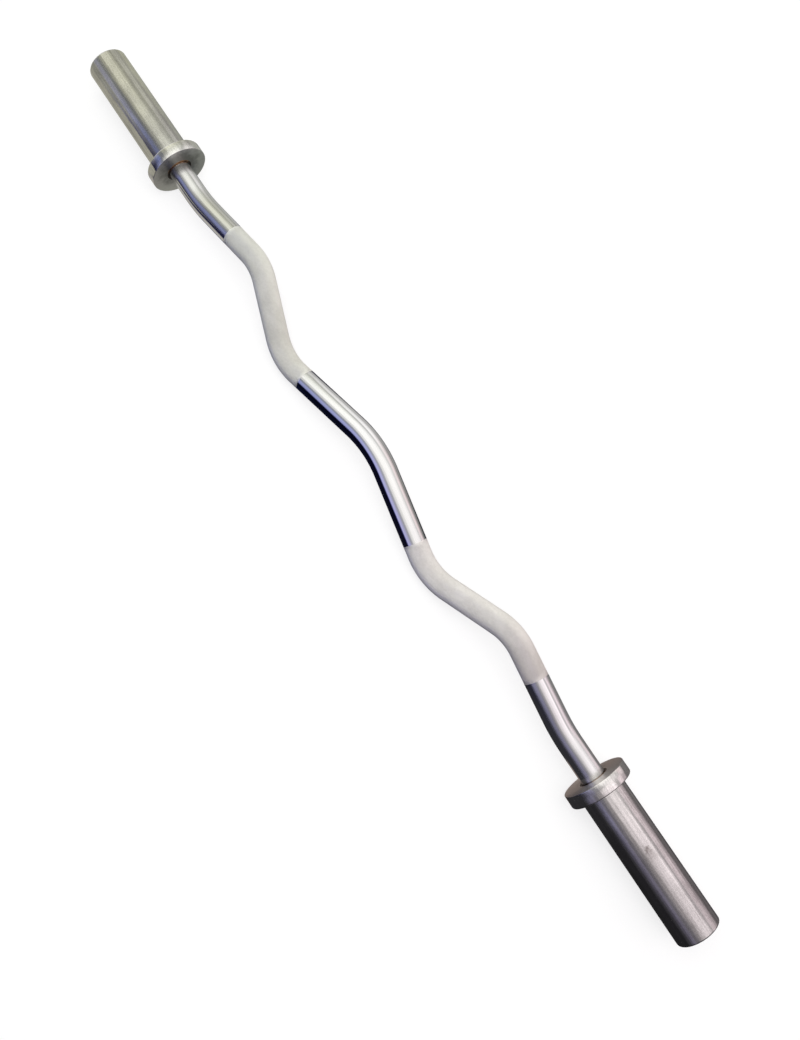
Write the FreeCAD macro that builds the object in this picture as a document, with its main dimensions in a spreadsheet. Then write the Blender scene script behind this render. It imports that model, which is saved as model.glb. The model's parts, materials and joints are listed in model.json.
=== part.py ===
import FreeCAD, Part
import enum
import math
import os
import re
import Sketcher

# A curl bar: one bent shaft with a turning plate sleeve at each end.
# X runs along the bar, Z is up and the floor is at zero height. Both sleeves share one axis along X.
# The bar lies at rest: its collars stand on the floor, and its bend plane leans until the valley bends
# touch the floor too.

# Driving sizes, in millimetres
SIZES = {
    # Bent shaft: the corners of its centre line before rounding, step by step out from mid-bar,
    # with each corner's height over or under the sleeve axis
    "shaft_diameter": 28.0,
    "centre_rise": 9.3,
    "centre_bend_radius": 122.0,
    "middle_run": 154.0,
    "valley_drop": 32.0,
    "valley_bend_radius": 68.0,
    "grip_run": 101.0,
    "peak_rise": 20.5,
    "peak_bend_radius": 59.0,
    "outer_run": 112.5,
    "run_out_bend_radius": 185.0,
    "straight_end": 54.5,
    # Collar: a flange ring pressed over the sleeve's inner end, with a lip round the inner bushing
    "collar_diameter": 72.0,
    "collar_thickness": 14.5,
    "collar_lip": 6.0,
    "collar_front_edge": 1.0,
    "collar_back_edge": 1.6,
    "collar_hole_edge": 0.5,
    # Sleeve: a turned tube, bored from both ends for its bushings and from the outer end for its plug.
    # Its inner end stands up a little as the collar's press seat, flush with the collar's outer face
    "sleeve_diameter": 50.0,
    "sleeve_reach": 162.5,
    "sleeve_bore_gap": 1.5,
    "sleeve_end_edge": 2.0,
    "sleeve_mouth_edge": 0.6,
    "press_seat_rise": 0.3,
    # Bronze bushings. The inner one runs through the collar's lip, to a little behind its face
    "bushing_wall": 2.5,
    "bushing_edge": 0.5,
    "inner_bushing_setback": 0.5,
    "inner_bushing_length": 35.0,
    "outer_bushing_length": 25.0,
    "outer_bushing_setback": 18.0,
    # Journal, thrust washers, shim and retaining ring inside the sleeve
    "journal_step": 1.5,
    "journal_tail": 4.0,
    "journal_edge": 1.0,
    "thrust_washer_thickness": 2.0,
    "shim_thickness": 0.5,
    "retaining_ring_thickness": 1.2,
    "retaining_ring_width": 2.4,
    "retaining_ring_depth": 0.6,
    # End plug and the snap ring that holds it
    "plug_ledge": 2.0,
    "plug_thickness": 6.0,
    "plug_edge": 0.8,
    "end_land": 4.0,
    "end_ring_thickness": 1.75,
    "end_ring_width": 3.2,
    "end_ring_depth": 1.0,
    # Lugs that both kinds of ring are gripped by
    "ring_gap": 4.0,
    "ring_lug_radius": 1.8,
    "ring_lug_hole_radius": 0.9,
    # Clearances, and how far cuts run past what they cut
    "running_clearance": 0.05,
    "seat_clearance": 0.02,
    "washer_clearance": 0.15,
    "washer_rim_gap": 0.5,
    "groove_clearance": 0.1,
    "end_play": 0.3,
    "overrun": 5.0,
}

FULL_TURN = 360.0
HALF_TURN = 180.0
MATCH = 1e-4
ALONG = FreeCAD.Vector(1, 0, 0)
UPWARD = FreeCAD.Vector(0, 0, 1)

# Each side's sign along X
SIDES = {"left": "-", "right": "+"}


class Spot(enum.IntEnum):
    """A point of a sketch's line, arc or circle."""
    START = 1
    END = 2
    CENTRE = 3


class Axis(enum.IntEnum):
    """The sketch's own axes, the first of which starts at its origin."""
    ACROSS = -1
    UP = -2


# Radii
SHAFT_R = "shaft_diameter / 2"
JOURNAL_R = f"({SHAFT_R} - journal_step)"
SLEEVE_R = "sleeve_diameter / 2"
PRESS_SEAT_R = f"({SLEEVE_R} + press_seat_rise)"
SLEEVE_BORE_R = f"({SHAFT_R} + sleeve_bore_gap)"
COLLAR_R = "collar_diameter / 2"
BUSHING_SEAT_R = f"({SHAFT_R} + running_clearance + bushing_wall)"
WASHER_R = f"({SLEEVE_BORE_R} - washer_rim_gap)"
PLUG_SEAT_R = f"({BUSHING_SEAT_R} + plug_ledge)"
RETAINING_GROOVE_R = f"({JOURNAL_R} - retaining_ring_depth)"
END_GROOVE_R = f"({PLUG_SEAT_R} + end_ring_depth)"

# Places along the sleeve, from its inner end, which butts on the collar's lip
PRESS_SEAT_LENGTH = "(collar_thickness - collar_lip)"
INNER_BUSHING_IN = "(inner_bushing_setback - collar_lip)"
INNER_BUSHING_OUT = f"({INNER_BUSHING_IN} + inner_bushing_length)"
SLEEVE_LENGTH = f"({PRESS_SEAT_LENGTH} + sleeve_reach)"
END_GROOVE_OUT = f"({SLEEVE_LENGTH} - end_land)"
END_GROOVE_IN = f"({END_GROOVE_OUT} - end_ring_thickness - groove_clearance)"
PLUG_SEAT = f"({END_GROOVE_IN} - plug_thickness)"
OUTER_BUSHING_OUT = f"({PLUG_SEAT} - outer_bushing_setback)"
OUTER_BUSHING_IN = f"({OUTER_BUSHING_OUT} - outer_bushing_length)"
INNER_WASHER_IN = f"({OUTER_BUSHING_IN} - end_play / 2 - thrust_washer_thickness)"
OUTER_WASHER_IN = f"({OUTER_BUSHING_OUT} + end_play / 2)"
SHIM_IN = f"({OUTER_WASHER_IN} + thrust_washer_thickness)"
RING_IN = f"({SHIM_IN} + shim_thickness)"
RING_OUT = f"({RING_IN} + retaining_ring_thickness + groove_clearance)"
JOURNAL_END = f"({RING_OUT} + journal_tail)"

# Places along the bar, from its middle
PEAK_REACH = "(middle_run + grip_run)"
RUN_OUT_REACH = f"({PEAK_REACH} + outer_run)"
COLLAR_FACE = f"({RUN_OUT_REACH} + straight_end)"
SLEEVE_START = f"({COLLAR_FACE} + collar_lip)"
SHAFT_TIP = f"({SLEEVE_START} + {JOURNAL_END})"

# Slopes of the shaft's middle runs and grips, its middle bend's height and its valley bends' depth
MIDDLE_SLOPE = "atan((centre_rise + valley_drop) / middle_run)"
GRIP_SLOPE = "atan((valley_drop + peak_rise) / grip_run)"
CENTRE_TOP = f"(centre_rise - centre_bend_radius * (1 / cos({MIDDLE_SLOPE}) - 1))"
VALLEY_TURN = f"({MIDDLE_SLOPE} + {GRIP_SLOPE})"
VALLEY_ROUNDING = f"(tan({VALLEY_TURN} / 2) * sin({MIDDLE_SLOPE}) + cos({MIDDLE_SLOPE}) - 1)"
VALLEY_DEPTH = f"(valley_drop - valley_bend_radius * {VALLEY_ROUNDING})"

# The bar leans until its valley bends touch the floor, or hangs straight down where they can't reach it
REST_LEAN = f"asin(min(1; ({COLLAR_R} - {SHAFT_R}) / {VALLEY_DEPTH}))"

# Corners of half the shaft's centre line, with the radius that rounds each one
CORNERS = [
    ("0", "centre_rise", "centre_bend_radius"),
    ("middle_run", "-valley_drop", "valley_bend_radius"),
    (PEAK_REACH, "peak_rise", "peak_bend_radius"),
    (RUN_OUT_REACH, "0", "run_out_bend_radius"),
]


def formula(text):
    """A formula in the sheet's cells: the sheet's name goes before every size."""
    return re.sub(r"[a-z_]+", lambda word: "Sizes." * (word.group() in SIZES) + word.group(), text)


def value(owner, text):
    """What a formula comes to now, as a plain number."""
    found = owner.evalExpression(formula(text))
    return float(getattr(found, "Value", found))


def make_sheet(doc):
    sheet = doc.addObject("Spreadsheet::Sheet", "Sizes")
    for row, (alias, size) in enumerate(SIZES.items(), start=1):
        sheet.set(f"A{row}", alias)
        sheet.set(f"B{row}", str(size))
        sheet.setAlias(f"B{row}", alias)
    doc.recompute()


# Bodies and sketches


def new_body(doc, label):
    body = doc.addObject("PartDesign::Body", label)
    body.Label = label
    return body


def plane(body, role):
    return next(feature for feature in body.Origin.OriginFeatures if feature.Role == role)


def new_sketch(body, name, role):
    sketch = body.newObject("Sketcher::SketchObject", name)
    sketch.AttachmentSupport = [(plane(body, role), "")]
    sketch.MapMode = "FlatFace"
    return sketch


def bind(sketch, constraint, text):
    """Adds a dimension and ties it to a formula."""
    index = sketch.addConstraint(constraint)
    sketch.setExpression(f"Constraints[{index}]", formula(text))


def on_line(sketch, item, spot, line):
    sketch.addConstraint(Sketcher.Constraint("PointOnObject", item, spot, line))


def point(sketch, across, up):
    return FreeCAD.Vector(value(sketch, across), value(sketch, up), 0)


def pin(sketch, item, spot, across, up):
    """Holds a point of a sketch at the two distances that its formulas give."""
    for kind, axis, text in (("DistanceX", Axis.UP, across), ("DistanceY", Axis.ACROSS, up)):
        distance = value(sketch, text)
        if abs(distance) < MATCH:
            on_line(sketch, item, spot, axis)
        elif distance > 0:
            forward = Sketcher.Constraint(kind, Axis.ACROSS, Spot.START, item, spot, distance)
            bind(sketch, forward, text)
        else:
            backward = Sketcher.Constraint(kind, item, spot, Axis.ACROSS, Spot.START, -distance)
            bind(sketch, backward, f"-({text})")


def draw_outline(sketch, corners):
    """A closed outline of straight lines, its corners given by pairs of formulas."""
    first = sketch.GeometryCount
    points = [point(sketch, across, up) for across, up in corners]
    lines = [sketch.addGeometry(Part.LineSegment(a, b)) for a, b in zip(points, points[1:] + points[:1])]
    for line, following in zip(lines, lines[1:] + lines[:1]):
        sketch.addConstraint(Sketcher.Constraint("Coincident", line, Spot.END, following, Spot.START))
    for line, (across, up) in enumerate(corners, start=first):
        pin(sketch, line, Spot.START, across, up)


def draw_circle(sketch, across, up, radius):
    size = value(sketch, radius)
    item = sketch.addGeometry(Part.Circle(point(sketch, across, up), UPWARD, size))
    pin(sketch, item, Spot.CENTRE, across, up)
    bind(sketch, Sketcher.Constraint("Radius", item, size), radius)


# Features


def turn(body, sketch, name, kind="PartDesign::Revolution"):
    """Revolves an outline about the piece's own axis, as a lathe would make it."""
    feature = body.newObject(kind, name)
    feature.Profile = sketch
    feature.ReferenceAxis = (sketch, ["H_Axis"])
    feature.Angle = FULL_TURN
    return feature


def turned_body(doc, label, corners):
    """A piece turned from one outline of (along, radius) formulas."""
    body = new_body(doc, label)
    sketch = new_sketch(body, f"{label}_outline", "XY_Plane")
    draw_outline(sketch, corners)
    turn(body, sketch, f"{label}_turned")
    return body


def pad(body, sketch, name, length):
    feature = body.newObject("PartDesign::Pad", name)
    feature.Profile = sketch
    feature.setExpression("Length", formula(length))


def soften(body, name, kind, along, radius, size):
    """Rounds or chamfers the circular edge at one place along a turned piece."""
    body.Document.recompute()
    base = body.Tip
    spot = (value(body, along), value(body, radius))
    names = []
    for index, edge in enumerate(base.Shape.Edges, start=1):
        if isinstance(edge.Curve, Part.Circle):
            found = (edge.Curve.Center.x, edge.Curve.Radius)
            if math.dist(found, spot) < MATCH:
                names.append(f"Edge{index}")
    feature = body.newObject(f"PartDesign::{kind}", name)
    feature.Base = (base, names)
    feature.setExpression("Radius" if kind == "Fillet" else "Size", formula(size))


def place(body, side, along):
    """Puts a piece on the sleeve axis of one side. Its own x runs outwards from mid-bar."""
    turned_about = FreeCAD.Rotation(UPWARD, HALF_TURN if side == "left" else 0)
    body.Placement = FreeCAD.Placement(FreeCAD.Vector(), turned_about)
    body.setExpression("Placement.Base.x", formula(f"{SIDES[side]}({along})"))
    body.setExpression("Placement.Base.z", formula(COLLAR_R))


# Bent shaft


def plan_bends(sketch):
    """Each bend of half the shaft: its start, end, centre and radius, and whether it turns leftward."""
    corners = [point(sketch, x, y) for x, y, _ in CORNERS]
    mirrored = FreeCAD.Vector(-corners[1].x, corners[1].y, 0)
    route = [mirrored] + corners + [point(sketch, SHAFT_TIP, "0")]
    bends = []
    for before, corner, after, (_, _, radius_name) in zip(route, corners, route[2:], CORNERS):
        radius = value(sketch, radius_name)
        back = (before - corner).normalize()
        ahead = (after - corner).normalize()
        half_angle = back.getAngle(ahead) / 2
        cut_back = radius / math.tan(half_angle)
        centre = corner + (back + ahead).normalize() * (radius / math.sin(half_angle))
        leftward = ahead.cross(back).z > 0
        bends.append((corner + back * cut_back, corner + ahead * cut_back, centre, radius, leftward))
    return bends


def angle_of(spot, centre):
    return math.atan2(spot.y - centre.y, spot.x - centre.x)


def draw_bend(sketch, start, end, centre, radius, leftward):
    """Adds one bend, and gives it with the spots where the centre line enters and leaves it."""
    first, last = (start, end) if leftward else (end, start)
    circle = Part.Circle(centre, UPWARD, radius)
    arc = sketch.addGeometry(Part.ArcOfCircle(circle, angle_of(first, centre), angle_of(last, centre)))
    return (arc, Spot.START, Spot.END) if leftward else (arc, Spot.END, Spot.START)


def draw_centre_line(sketch):
    """Half the shaft's centre line, from the top of its middle bend: straight runs and tangent bends."""
    tip = point(sketch, SHAFT_TIP, "0")
    chain = []
    run_start = None
    for (start, end, centre, radius, leftward), (_, _, radius_name) in zip(plan_bends(sketch), CORNERS):
        if chain:
            chain.append((sketch.addGeometry(Part.LineSegment(run_start, start)), Spot.START, Spot.END))
        else:
            start = centre + FreeCAD.Vector(0, radius, 0)
        chain.append(draw_bend(sketch, start, end, centre, radius, leftward))
        bind(sketch, Sketcher.Constraint("Radius", chain[-1][0], radius), radius_name)
        run_start = end
    chain.append((sketch.addGeometry(Part.LineSegment(run_start, tip)), Spot.START, Spot.END))
    for (item, _, leave), (following, enter, _) in zip(chain, chain[1:]):
        sketch.addConstraint(Sketcher.Constraint("Tangent", item, leave, following, enter))
    middle_bend, middle_spot, _ = chain[0]
    on_line(sketch, middle_bend, middle_spot, Axis.UP)
    on_line(sketch, middle_bend, Spot.CENTRE, Axis.UP)
    last_run = chain[-1][0]
    on_line(sketch, last_run, Spot.START, Axis.ACROSS)
    pin(sketch, last_run, Spot.END, SHAFT_TIP, "0")
    hold_corners(sketch, [item for item, _, _ in chain[1:-1:2]])


def hold_corners(sketch, slanting_runs):
    """Construction points at the corners: each slanting run is in line with the corners at its two ends."""
    marks = []
    for across, up, _ in CORNERS:
        marks.append(sketch.addGeometry(Part.Point(point(sketch, across, up)), True))
        pin(sketch, marks[-1], Spot.START, across, up)
    for run, near, far in zip(slanting_runs, marks, marks[1:]):
        on_line(sketch, near, Spot.START, run)
        on_line(sketch, far, Spot.START, run)


def turn_down_end(body):
    """Turns the shaft's end down to the journal, with the retaining ring's groove and a chamfered tip."""
    shoulder = f"{SLEEVE_START} + {INNER_WASHER_IN}"
    groove_in = f"{SLEEVE_START} + {RING_IN}"
    groove_out = f"{SLEEVE_START} + {RING_OUT}"
    sketch = new_sketch(body, "journal_outline", "XY_Plane")
    draw_outline(sketch, [
        (shoulder, JOURNAL_R),
        (groove_in, JOURNAL_R),
        (groove_in, RETAINING_GROOVE_R),
        (groove_out, RETAINING_GROOVE_R),
        (groove_out, JOURNAL_R),
        (f"{SHAFT_TIP} - journal_edge", JOURNAL_R),
        (SHAFT_TIP, f"{JOURNAL_R} - journal_edge"),
        (f"{SHAFT_TIP} + overrun", f"{JOURNAL_R} - journal_edge"),
        (f"{SHAFT_TIP} + overrun", f"{SHAFT_R} + overrun"),
        (shoulder, f"{SHAFT_R} + overrun"),
    ])
    return turn(body, sketch, "journal_turned", "PartDesign::Groove")


def make_shaft(doc):
    body = new_body(doc, "shaft")
    path = new_sketch(body, "centre_line", "XY_Plane")
    draw_centre_line(path)
    section = new_sketch(body, "bar_section", "YZ_Plane")
    draw_circle(section, CENTRE_TOP, "0", SHAFT_R)
    doc.recompute()
    bent = body.newObject("PartDesign::AdditivePipe", "bent_half")
    bent.Profile = section
    bent.Spine = (path, [f"Edge{index + 1}" for index in range(len(path.Shape.Edges))])
    doc.recompute()
    full_volume = bent.Shape.Volume
    journal = turn_down_end(body)
    doc.recompute()
    if not journal.Shape.Volume < full_volume:
        raise RuntimeError("the shaft's end wasn't turned down")
    mirror = body.newObject("PartDesign::Mirrored", "other_half")
    mirror.Originals = [bent, journal]
    mirror.MirrorPlane = (plane(body, "YZ_Plane"), [""])
    body.Tip = mirror
    body.Placement = FreeCAD.Placement(FreeCAD.Vector(), FreeCAD.Rotation(ALONG, HALF_TURN / 2))
    body.setExpression("Placement.Base.z", formula(COLLAR_R))
    body.setExpression("Placement.Rotation.Angle", formula(REST_LEAN))
    return body


# Pieces of one end


def make_collar(doc, side):
    socket = f"{PRESS_SEAT_R} + seat_clearance"
    body = turned_body(doc, f"{side}_collar", [
        ("0", BUSHING_SEAT_R),
        ("0", COLLAR_R),
        ("collar_thickness", COLLAR_R),
        ("collar_thickness", socket),
        ("collar_lip", socket),
        ("collar_lip", BUSHING_SEAT_R),
    ])
    soften(body, f"{side}_collar_front", "Fillet", "0", COLLAR_R, "collar_front_edge")
    soften(body, f"{side}_collar_back", "Fillet", "collar_thickness", COLLAR_R, "collar_back_edge")
    soften(body, f"{side}_collar_hole", "Chamfer", "0", BUSHING_SEAT_R, "collar_hole_edge")
    place(body, side, COLLAR_FACE)
    return body


def make_sleeve(doc, side):
    mouth_r = f"({PLUG_SEAT_R} + sleeve_mouth_edge)"
    body = turned_body(doc, f"{side}_sleeve", [
        ("0", BUSHING_SEAT_R),
        ("0", PRESS_SEAT_R),
        (PRESS_SEAT_LENGTH, PRESS_SEAT_R),
        (PRESS_SEAT_LENGTH, SLEEVE_R),
        (SLEEVE_LENGTH, SLEEVE_R),
        (SLEEVE_LENGTH, mouth_r),
        (f"{SLEEVE_LENGTH} - sleeve_mouth_edge", PLUG_SEAT_R),
        (END_GROOVE_OUT, PLUG_SEAT_R),
        (END_GROOVE_OUT, END_GROOVE_R),
        (END_GROOVE_IN, END_GROOVE_R),
        (END_GROOVE_IN, PLUG_SEAT_R),
        (PLUG_SEAT, PLUG_SEAT_R),
        (PLUG_SEAT, BUSHING_SEAT_R),
        (OUTER_BUSHING_IN, BUSHING_SEAT_R),
        (OUTER_BUSHING_IN, SLEEVE_BORE_R),
        (INNER_BUSHING_OUT, SLEEVE_BORE_R),
        (INNER_BUSHING_OUT, BUSHING_SEAT_R),
    ])
    edge = f"min(sleeve_end_edge; ({SLEEVE_R} - {mouth_r}) / 2)"
    soften(body, f"{side}_sleeve_end", "Fillet", SLEEVE_LENGTH, SLEEVE_R, edge)
    place(body, side, SLEEVE_START)
    return body


def make_bushing(doc, side, name, running_radius, length, along):
    """A plain bush: pressed in the sleeve end, running on the shaft or its journal."""
    bore = f"{running_radius} + running_clearance"
    rim = f"{BUSHING_SEAT_R} - seat_clearance"
    body = turned_body(doc, f"{side}_{name}", [
        ("0", bore),
        ("0", f"{rim} - bushing_edge"),
        ("bushing_edge", rim),
        (f"{length} - bushing_edge", rim),
        (length, f"{rim} - bushing_edge"),
        (length, bore),
    ])
    place(body, side, f"{SLEEVE_START} + {along}")
    return body


def make_washer(doc, side, name, thickness, along):
    """A flat washer on the journal."""
    bore = f"{JOURNAL_R} + washer_clearance"
    body = turned_body(doc, f"{side}_{name}", [
        ("0", bore),
        ("0", WASHER_R),
        (thickness, WASHER_R),
        (thickness, bore),
    ])
    place(body, side, f"{SLEEVE_START} + {along}")
    return body


def make_plug(doc, side):
    rim = f"({PLUG_SEAT_R} - seat_clearance)"
    body = turned_body(doc, f"{side}_end_plug", [
        ("0", "0"),
        ("0", f"{rim} - plug_edge"),
        ("plug_edge", rim),
        ("plug_thickness - plug_edge", rim),
        ("plug_thickness", f"{rim} - plug_edge"),
        ("plug_thickness", "0"),
    ])
    place(body, side, f"{SLEEVE_START} + {PLUG_SEAT}")
    return body


def make_ring(doc, side, name, bore, rim, lug_height, thickness, along):
    """A split spring ring with two drilled lugs, for a groove on a shaft or in a bore."""
    label = f"{side}_{name}"
    slit = "ring_gap / 2"
    lug_side = f"({slit} + ring_lug_radius)"
    body = new_body(doc, label)
    band = new_sketch(body, f"{label}_band", "YZ_Plane")
    draw_circle(band, "0", "0", bore)
    draw_circle(band, "0", "0", rim)
    pad(body, band, f"{label}_band_pad", thickness)
    lugs = new_sketch(body, f"{label}_lugs", "YZ_Plane")
    cut = new_sketch(body, f"{label}_gap", "YZ_Plane")
    foot = f"{bore} - overrun"
    top = f"{rim} + overrun"
    draw_outline(cut, [(f"-{slit}", foot), (slit, foot), (slit, top), (f"-{slit}", top)])
    for hand in ("-", ""):
        draw_circle(lugs, f"{hand}{lug_side}", lug_height, "ring_lug_radius")
        draw_circle(cut, f"{hand}{lug_side}", lug_height, "ring_lug_hole_radius")
    pad(body, lugs, f"{label}_lug_pad", thickness)
    doc.recompute()
    uncut_volume = body.Tip.Shape.Volume
    pocket = body.newObject("PartDesign::Pocket", f"{label}_cut")
    pocket.Profile = cut
    pocket.Type = "ThroughAll"
    pocket.Reversed = True
    doc.recompute()
    if not pocket.Shape.Volume < uncut_volume:
        raise RuntimeError(f"{label} wasn't split")
    place(body, side, f"{SLEEVE_START} + {along}")
    return body


def make_retaining_ring(doc, side):
    """Keeps the sleeve on: it sits in the journal's groove, with its lugs outside."""
    bore = f"({RETAINING_GROOVE_R} + seat_clearance)"
    rim = f"({bore} + retaining_ring_width)"
    lug_height = f"({rim} - ring_lug_radius / 2)"
    return make_ring(doc, side, "retaining_ring", bore, rim, lug_height, "retaining_ring_thickness", RING_IN)


def make_end_snap_ring(doc, side):
    """Holds the plug: it sits in the groove of the sleeve's mouth, with its lugs inside."""
    rim = f"({END_GROOVE_R} - seat_clearance)"
    bore = f"({rim} - end_ring_width)"
    lug_height = f"({bore} + ring_lug_radius / 2)"
    return make_ring(doc, side, "end_snap_ring", bore, rim, lug_height, "end_ring_thickness", END_GROOVE_IN)


def make_end(doc, side):
    """Every piece of one end, from the collar out to the plug's snap ring."""
    return [
        make_collar(doc, side),
        make_sleeve(doc, side),
        make_bushing(doc, side, "inner_bushing", SHAFT_R, "inner_bushing_length", INNER_BUSHING_IN),
        make_bushing(doc, side, "outer_bushing", JOURNAL_R, "outer_bushing_length", OUTER_BUSHING_IN),
        make_washer(doc, side, "inner_thrust_washer", "thrust_washer_thickness", INNER_WASHER_IN),
        make_washer(doc, side, "outer_thrust_washer", "thrust_washer_thickness", OUTER_WASHER_IN),
        make_washer(doc, side, "shim", "shim_thickness", SHIM_IN),
        make_retaining_ring(doc, side),
        make_plug(doc, side),
        make_end_snap_ring(doc, side),
    ]


# Build, check and write


def check(doc, bodies):
    for item in doc.Objects:
        if {"Invalid", "Error"} & set(item.State):
            raise RuntimeError(f"{item.Name} failed: {item.State}")
    for body in bodies:
        if body.Shape.isNull() or not body.Shape.isValid() or len(body.Shape.Solids) != 1:
            raise RuntimeError(f"{body.Label} isn't one sound solid")


def main():
    doc = FreeCAD.newDocument("curl_bar")
    make_sheet(doc)
    bodies = [make_shaft(doc)]
    for side in SIDES:
        bodies += make_end(doc, side)
    doc.recompute()
    check(doc, bodies)
    os.makedirs("parts", exist_ok=True)
    for body in bodies:
        body.Shape.exportStep(f"parts/{body.Label}.step")


main()
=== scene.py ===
import json
import math

import bmesh
import bpy
from mathutils import Matrix, Vector


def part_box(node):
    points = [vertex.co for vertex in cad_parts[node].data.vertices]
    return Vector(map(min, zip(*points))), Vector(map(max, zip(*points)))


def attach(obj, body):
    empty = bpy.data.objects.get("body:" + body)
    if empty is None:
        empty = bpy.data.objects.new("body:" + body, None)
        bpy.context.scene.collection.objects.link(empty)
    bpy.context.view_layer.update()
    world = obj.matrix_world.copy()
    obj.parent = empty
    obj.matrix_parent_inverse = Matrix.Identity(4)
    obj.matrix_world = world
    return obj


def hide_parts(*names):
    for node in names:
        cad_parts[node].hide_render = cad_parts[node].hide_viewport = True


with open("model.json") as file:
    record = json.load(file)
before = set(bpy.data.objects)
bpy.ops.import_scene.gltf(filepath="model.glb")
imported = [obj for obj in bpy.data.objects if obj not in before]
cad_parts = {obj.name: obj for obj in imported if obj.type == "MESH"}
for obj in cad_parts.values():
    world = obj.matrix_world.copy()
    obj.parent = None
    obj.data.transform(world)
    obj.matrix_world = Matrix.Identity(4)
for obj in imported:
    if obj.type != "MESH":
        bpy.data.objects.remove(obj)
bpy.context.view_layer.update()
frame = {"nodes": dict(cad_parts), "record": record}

# A curl bar at rest on a pale floor. X runs along the bar, Z is up, and every length is in metres.
SIDES = {"left": -1, "right": 1}
UP = Vector((0, 0, 1))

# The shaft's centre line in its bend plane: the corners of half of it, out from mid-bar, with each
# corner's height over the sleeve axis and the radius of the bend that rounds it
CORNERS = [
    (Vector((0.0, 0.0093)), 0.122),
    (Vector((0.154, -0.032)), 0.068),
    (Vector((0.255, 0.0205)), 0.059),
    (Vector((0.3675, 0.0)), 0.185),
]
SHAFT_RADIUS = 0.014
JOURNAL_RADIUS = 0.0125
JOURNAL_GROOVE_RADIUS = 0.0119
JOURNAL_EDGE = 0.001
PLAIN_ROW_STEP = 0.0025
LEAN_STEPS = 4000

# The knurled grips: where a band starts and ends along the bar from its middle, the starts of each of its
# two crossing sets of grooves, their lean from the bar's axis, their depth, and the length of their run-out
KNURL_START = 0.1178
KNURL_END = 0.3220
KNURL_STARTS = 64
KNURL_LEAN = math.radians(30)
KNURL_DEPTH = 0.00035
KNURL_RUN_OUT = 0.005
COLUMNS = 2 * KNURL_STARTS

# Turned pieces
TURNED_COLUMNS = 192
ARC_STEPS = 6
SHARP_ANGLE = math.radians(32)
SAME_POINT = 1e-7
COLLAR_FRONT_EDGE = 0.0006
COLLAR_BACK_EDGE = 0.0016
COLLAR_HOLE_EDGE = 0.0005
SLEEVE_END_EDGE = 0.0020
SLEEVE_MOUTH_EDGE = 0.0006
SLEEVE_BORE_RADIUS = 0.0155
SMALL_EDGE = 0.0003
BUSHING_EDGE = 0.0005
BUSHING_MOUTH = 0.0012
PLUG_EDGE = 0.0008
PRESS_GAP = 0.00002
RUNNING_GAP = 0.00005

# The photograph's camera. The bar slopes down to the right in the picture, its right end comes towards the
# camera, and its bend plane is rolled about it. The picture is a crop, so its centre is off the lens's by
# the shift, as shares of its height. The last line is mid-bar on the sleeve axis as the camera sees it.
PICTURE_HEIGHT = 1040
FOCAL_PIXELS = 906.1
SENSOR = 36.0
SHIFT = Vector((42.3, -62.2)) / PICTURE_HEIGHT
BAR_SLOPE = math.radians(55.92)
BAR_TILT = math.radians(11.10)
BAR_ROLL = math.radians(38.0)
NEAREST_SEEN = 0.01
MID_BAR_FROM_CAMERA = Vector((0.01404, 0.00925, -1.02846))


# The bar's place

def along(node):
    """Where a node of one end starts and stops, as distances from mid-bar."""
    low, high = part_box(node)
    return sorted((abs(low.x), abs(high.x)))


def radius_of(node):
    """The outer radius of a round node about the sleeve axis."""
    low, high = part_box(node)
    return (high.y - low.y) / 2


AXIS_HEIGHT = radius_of("left_collar")
PLATE_PIN = next(mount for mount in frame["record"]["mounts"] if mount["kind"] == "pin")
SLEEVE_RADIUS = PLATE_PIN["dims"]["r_mm"] / 1000


# The shaft's centre line

def run(start, end):
    """A straight run: its length, and a function from the length along it to the spot and heading there."""
    way = end - start
    heading = math.atan2(way.y, way.x)
    return way.length, lambda s: (start + way * (s / way.length), heading)


def bend(centre, radius, first, sweep):
    """A bend, given as a run is. It turns from its first angle about its centre."""
    side = math.copysign(1, sweep)

    def at(s):
        angle = first + side * s / radius
        return centre + radius * Vector((math.cos(angle), math.sin(angle))), angle + side * math.pi / 2

    return abs(sweep) * radius, at


def angle_about(spot, centre):
    way = spot - centre
    return math.atan2(way.y, way.x)


def half_path(tip):
    """The runs and bends of half the centre line, from the top of its middle bend to the shaft's tip."""
    corners = [corner for corner, _ in CORNERS]
    mirrored = Vector((-corners[1].x, corners[1].y))
    route = [mirrored] + corners + [Vector((tip, 0))]
    pieces = []
    last = None
    for before, corner, after, (_, radius) in zip(route, corners, route[2:], CORNERS):
        back = (before - corner).normalized()
        ahead = (after - corner).normalized()
        half_angle = back.angle(ahead) / 2
        start = corner + back * (radius / math.tan(half_angle))
        end = corner + ahead * (radius / math.tan(half_angle))
        centre = corner + (back + ahead).normalized() * (radius / math.sin(half_angle))
        first = angle_about(start, centre)
        sweep = math.remainder(angle_about(end, centre) - first, math.tau)
        if last is None:
            first += sweep / 2
            sweep /= 2
        else:
            pieces.append(run(last, start))
        pieces.append(bend(centre, radius, first, sweep))
        last = end
    pieces.append(run(last, route[-1]))
    return pieces


def spot_on(path, s):
    """The spot and heading at a length along the bar from its middle, to the left where that is negative."""
    rest = abs(s)
    for length, at in path[:-1]:
        if rest <= length:
            break
        rest -= length
    else:
        _, at = path[-1]
    spot, heading = at(rest)
    return (spot, heading) if s >= 0 else (Vector((-spot.x, spot.y)), -heading)


def rest_lean(path):
    """How far the bend plane leans from the floor when the valley bends touch it."""
    reach = sum(length for length, _ in path)
    lowest = min(spot_on(path, reach * k / LEAN_STEPS)[0].y for k in range(LEAN_STEPS))
    return math.asin((AXIS_HEIGHT - SHAFT_RADIUS) / -lowest)


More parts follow.
